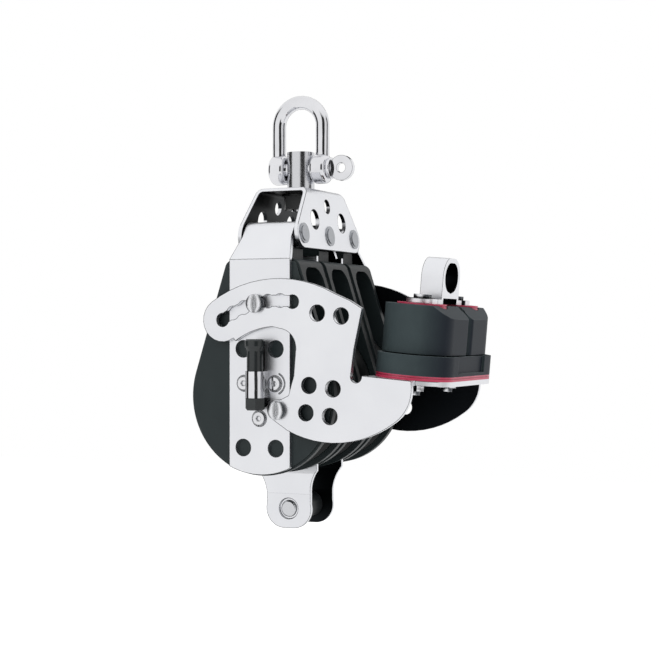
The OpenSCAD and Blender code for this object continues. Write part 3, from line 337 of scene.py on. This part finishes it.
# Strap pins. 8 mm stainless rivets set through the flanges, with tumbled heads that read grey in
# a darker rim.
tumble_mm = 0.8
tumble_depth = 0.2 * MM
tumbled_stainless = bpy.data.materials.new("tumbled_stainless_rivet")
tumbled_stainless.use_nodes = True
metal = tumbled_stainless.node_tree
metal.nodes.clear()
place = add(metal, "ShaderNodeTexCoord")
dents = add(metal, "ShaderNodeTexNoise", {"Scale": 1 / (tumble_mm * MM), "Detail": 3.0, "Roughness": 0.6},
            {"Vector": place.outputs["Object"]})
dulling = add(metal, "ShaderNodeMapRange", {"To Min": 0.22, "To Max": 0.42}, {0: dents.outputs["Fac"]})
tone = add(metal, "ShaderNodeMix", {"data_type": "RGBA", 6: linear("#8d9094"), 7: linear("#bcbec2")},
           {0: dents.outputs["Fac"]})
fine = add(metal, "ShaderNodeBump", {"Strength": 0.15, "Distance": tumble_depth},
           {"Height": dents.outputs["Fac"]})
shell = add(metal, "ShaderNodeBsdfPrincipled", {"Metallic": 1.0},
            {"Base Color": tone.outputs[2], "Roughness": dulling.outputs[0], "Normal": fine.outputs[0]})
add(metal, "ShaderNodeOutputMaterial", None, {"Surface": shell.outputs[0]})
dress(["head_pin_front", "head_pin_middle", "head_pin_rear"], tumbled_stainless)

# Straps. Four plates of 2 mm stainless, polished like the bracket, each rolled round its pin at the
# top. The inner two run on below the cheeks as the ears of the becket.
# Their faces that look in towards the block's middle are painted dark as painted shade, and their cut edges
# carry the painted dark line.
polished_strap = polished_sheet("polished_strap_sheet", (0, 0, 0), (0, 1, 0))
dress(["strap_front", "strap_inner_front", "strap_inner_rear", "strap_rear"], polished_strap)

# Cheeks. Six moulded halves of glass filled nylon, satin off the tool, a dark green grey. The spark
# eroded texture softens every highlight. The raised edges are painted a little paler in patches, partly as
# handling wear and partly as painted highlight, and the faces that look along the block are painted darker
# as painted shade. Its grain is drawn coarser than real, so that it shows.


def plastic_with_edge_wear_and_painted_light(name, deep, pale, side, edge_tone_rub_and_painted_light, grain_mm, gloss, sheen, edge_mm, edge_share_rub_and_painted_light):
    """Moulded plastic with a fine tool texture, a cloudy tone from deep to pale that turns to the side tone
    on the faces that look along the block, as painted shade where that tone is darker, and edges painted in
    patches in their own tone, partly as rubbing wear and partly as painted light."""
    material = bpy.data.materials.new(name)
    material.use_nodes = True
    plastic = material.node_tree
    plastic.nodes.clear()
    place = add(plastic, "ShaderNodeTexCoord")
    texture = add(plastic, "ShaderNodeTexNoise",
                  {"Scale": 1 / (grain_mm * MM), "Detail": 4.0, "Roughness": 0.6},
                  {"Vector": place.outputs["Object"]})
    clouds = add(plastic, "ShaderNodeTexNoise", {"Scale": 1 / (plastic_cloud_mm * MM), "Detail": 3.0},
                 {"Vector": place.outputs["Object"]})
    clouded = add(plastic, "ShaderNodeMix", {"data_type": "RGBA", 6: linear(deep), 7: linear(pale)},
                  {0: clouds.outputs["Fac"]})
    # Where the side tone is darker, as on the cheeks and cams, the faces that look along the block get
    # painted shade.
    facing = add(plastic, "ShaderNodeSeparateXYZ", None, {0: place.outputs["Normal"]})
    along = add(plastic, "ShaderNodeMapRange", {"From Min": 0.35, "From Max": 0.9}, {0: facing.outputs["X"]})
    tone_with_painted_side_shade = add(plastic, "ShaderNodeMix", {"data_type": "RGBA", 7: linear(side)},
                {0: along.outputs[0], 6: clouded.outputs[2]})
    rounded = add(plastic, "ShaderNodeBevel", {"samples": 6, "Radius": edge_mm * MM})
    true_face = add(plastic, "ShaderNodeNewGeometry")
    turned = add(plastic, "ShaderNodeVectorMath", {"operation": "DOT_PRODUCT"},
                 {0: rounded.outputs[0], 1: true_face.outputs["True Normal"]})
    # The edges are painted in their own tone in patches: partly rubbing wear, partly painted light, a
    # highlight where paler and shade where darker.
    edge = add(plastic, "ShaderNodeMapRange", {"From Min": 0.995, "From Max": 0.90, "To Max": edge_share_rub_and_painted_light},
               {0: turned.outputs["Value"]})
    patches = add(plastic, "ShaderNodeMapRange", {"From Min": 0.35, "From Max": 0.6},
                  {0: clouds.outputs["Fac"]})
    edge_mask_rub_and_painted_light = add(plastic, "ShaderNodeMath", {"operation": "MULTIPLY"},
                 {0: edge.outputs[0], 1: patches.outputs[0]})
    tone = add(plastic, "ShaderNodeMix", {"data_type": "RGBA", 7: linear(edge_tone_rub_and_painted_light)},
               {0: edge_mask_rub_and_painted_light.outputs[0], 6: tone_with_painted_side_shade.outputs[2]})
    dulling = add(plastic, "ShaderNodeMapRange",
                  {"To Min": gloss - gloss_spread, "To Max": gloss + gloss_spread},
                  {0: texture.outputs["Fac"]})
    fine = add(plastic, "ShaderNodeBump", {"Strength": 0.12, "Distance": tool_texture_depth},
               {"Height": texture.outputs["Fac"], "Normal": rounded.outputs[0]})
    shell = add(plastic, "ShaderNodeBsdfPrincipled", {"IOR": plastic_ior, "Specular IOR Level": sheen},
                {"Base Color": tone.outputs[2], "Roughness": dulling.outputs[0], "Normal": fine.outputs[0]})
    add(plastic, "ShaderNodeOutputMaterial", None, {"Surface": shell.outputs[0]})
    return material


plastic_ior = 1.5
plastic_cloud_mm = 14
gloss_spread = 0.06
tool_texture_depth = 0.08 * MM
cheek_nylon = plastic_with_edge_wear_and_painted_light("glass_filled_nylon_cheek", deep="#20282a", pale="#293132", side="#13181a",
                           edge_tone_rub_and_painted_light="#7f8786", grain_mm=0.22, gloss=0.42,
                           sheen=0.25, edge_mm=0.25, edge_share_rub_and_painted_light=0.5)
dress(["cheek_1_front", "cheek_1_rear", "cheek_2_front", "cheek_2_rear", "cheek_3_front", "cheek_3_rear"],
      cheek_nylon)

# Hub. Stainless races, axle and balls, ground so that faint rings run round the axle, and hardly seen
# between the straps. Socket screws hold it, electropolished. The pawl, cam posts and springs are ground.
grind_ring_mm = 7.85
grind_depth = 0.1 * MM
ground_stainless = bpy.data.materials.new("ground_stainless_race")
ground_stainless.use_nodes = True
metal = ground_stainless.node_tree
metal.nodes.clear()
place = add(metal, "ShaderNodeTexCoord")
swirl = add(metal, "ShaderNodeTexWave", {"wave_type": "RINGS", "rings_direction": "Y",
                                         "Scale": wave_repeat / (grind_ring_mm * MM),
                                         "Distortion": 2.0, "Detail": 2.0},
            {"Vector": place.outputs["Object"]})
fine = add(metal, "ShaderNodeBump", {"Strength": 0.05, "Distance": grind_depth},
           {"Height": swirl.outputs["Fac"]})
dulling = add(metal, "ShaderNodeMapRange", {"To Min": 0.2, "To Max": 0.3}, {0: swirl.outputs["Fac"]})
shell = add(metal, "ShaderNodeBsdfPrincipled", {"Base Color": linear("#b9bbbe"), "Metallic": 1.0},
            {"Roughness": dulling.outputs[0], "Normal": fine.outputs[0]})
add(metal, "ShaderNodeOutputMaterial", None, {"Surface": shell.outputs[0]})
dress(["race_1", "race_2", "race_3", "axle", "balls_1", "balls_2", "balls_3", "pawl", "pawl_pin",
       "cam_springs", "cam_posts"], ground_stainless)
dress(["hub_screws"], forged_stainless)

# Sheaves. Black acetal filled nylon, moulded and then turned in the groove.
sheave_nylon = plastic_with_edge_wear_and_painted_light("moulded_black_sheave", deep="#0d1011", pale="#16191a", side="#0d1011",
                            edge_tone_rub_and_painted_light="#5a6060", grain_mm=0.3, gloss=0.3,
                            sheen=0.3, edge_mm=0.25, edge_share_rub_and_painted_light=0.4)
dress(["sheave_1", "sheave_2", "sheave_3"], sheave_nylon)

# Ratchet switch. A black moulded stem with two caps, glossy from the thumb, which slides in a bright
# steel sleeve. Its edges are painted darker than its faces, in patches, as painted shade.
switch_plastic = plastic_with_edge_wear_and_painted_light("moulded_black_switch", deep="#1a1e1f", pale="#282e2f", side="#1a1e1f",
                              edge_tone_rub_and_painted_light="#0d0f10", grain_mm=0.25, gloss=0.24,
                              sheen=0.5, edge_mm=0.3, edge_share_rub_and_painted_light=0.7)
dress(["switch_stem"], switch_plastic)
dress(["switch_sleeve"], forged_stainless)

# Becket pin. Turned stainless like the post, riveted at both ends over the inner straps' ears.
dress(["becket_pin"], turned_stainless)

# Arm screws. Slotted stainless screws at the pivot and in the slot. Their heads are buffed and shaded as if
# the faces round over, and each one has a bright middle between two dark crescents painted in as painted
# reflection.
buffed_round_mm = 3.2
scratch_mm = 0.4
scratch_depth = 0.1 * MM
buffed_stainless = bpy.data.materials.new("buffed_stainless_screw")
buffed_stainless.use_nodes = True
metal = buffed_stainless.node_tree
metal.nodes.clear()
place = add(metal, "ShaderNodeTexCoord")
dome = add(metal, "ShaderNodeBevel", {"samples": 12, "Radius": buffed_round_mm * MM})
scratches = add(metal, "ShaderNodeTexNoise", {"Scale": 1 / (scratch_mm * MM), "Detail": 4.0},
                {"Vector": place.outputs["Object"]})
dulling = add(metal, "ShaderNodeMapRange", {"To Min": 0.05, "To Max": 0.14}, {0: scratches.outputs["Fac"]})
fine = add(metal, "ShaderNodeBump", {"Strength": 0.06, "Distance": scratch_depth},
           {"Height": scratches.outputs["Fac"], "Normal": dome.outputs[0]})
# The two dark crescents at the sides of each head are painted reflection.
lean = add(metal, "ShaderNodeMath", {"operation": "ABSOLUTE"},
           {0: add(metal, "ShaderNodeSeparateXYZ", None, {0: dome.outputs[0]}).outputs["X"]})
painted_crescent_reflection = add(metal, "ShaderNodeMapRange", {"From Min": 0.22, "From Max": 0.5}, {0: lean.outputs[0]})
tone = add(metal, "ShaderNodeMix", {"data_type": "RGBA", 6: linear("#e4e5e8"), 7: linear("#4a4d51")},
           {0: painted_crescent_reflection.outputs[0]})
shell = add(metal, "ShaderNodeBsdfPrincipled", {"Metallic": 1.0},
            {"Base Color": tone.outputs[2], "Roughness": dulling.outputs[0], "Normal": fine.outputs[0]})
add(metal, "ShaderNodeOutputMaterial", None, {"Surface": shell.outputs[0]})
dress(["pivot_screws", "slot_screws"], buffed_stainless)

# Cleat arm. One blank of 2.5 mm stainless, laser cut and folded into two legs and a platform, polished
# like the straps. The legs read almost white outside, and the faces towards the block are painted near black
# as painted shade.
dress(["arm_bracket"], polished_sheet("polished_arm_sheet", (0, 0, 0), (0, 1, 0), "#1d2023"))

# Wear plate and cam washers. Moulded crimson plastic, semi gloss, with paler pink patches painted along
# the edges.
crimson_plastic = plastic_with_edge_wear_and_painted_light("moulded_crimson_plastic", deep="#b42c4b", pale="#c43a5a", side="#c43a5a",
                               edge_tone_rub_and_painted_light="#e58fa3", grain_mm=0.3, gloss=0.33,
                               sheen=0.4, edge_mm=0.3, edge_share_rub_and_painted_light=0.8)
dress(["base_wear_plate", "cam_washers"], crimson_plastic)

# Cleat base and cams. Carbon filled nylon, moulded, a cool satin charcoal. The faces away from the block
# are painted bluish and darker as painted shade, and the corners are painted pale in patches, partly as wear
# and partly as painted highlight.
cam_nylon = plastic_with_edge_wear_and_painted_light("carbon_filled_nylon_cam", deep="#363f42", pale="#434e50", side="#20262e",
                         edge_tone_rub_and_painted_light="#7c8387", grain_mm=0.25, gloss=0.46,
                         sheen=0.1, edge_mm=0.4, edge_share_rub_and_painted_light=0.6)
dress(["cleat_base", "cam_front", "cam_rear"], cam_nylon)

# Fairlead eyestrap, its screws and nuts. Stainless strip bent to a round eye over two feet and polished:
# it reads almost white outside and is painted black inside the eye as painted shade. The screws are buffed
# like those of the arm.
eye_low, eye_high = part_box("eyestrap")
eye_radius_mm = 7.6
eye_middle_mm = (0, (eye_low[1] + eye_high[1]) / 2 / MM, eye_high[2] / MM - eye_radius_mm)
dress(["eyestrap"], polished_sheet("polished_eye_strip", eye_middle_mm, (0, 1, 1), "#121416"))
dress(["cleat_screws"], buffed_stainless)
dress(["cleat_nuts"], forged_stainless)
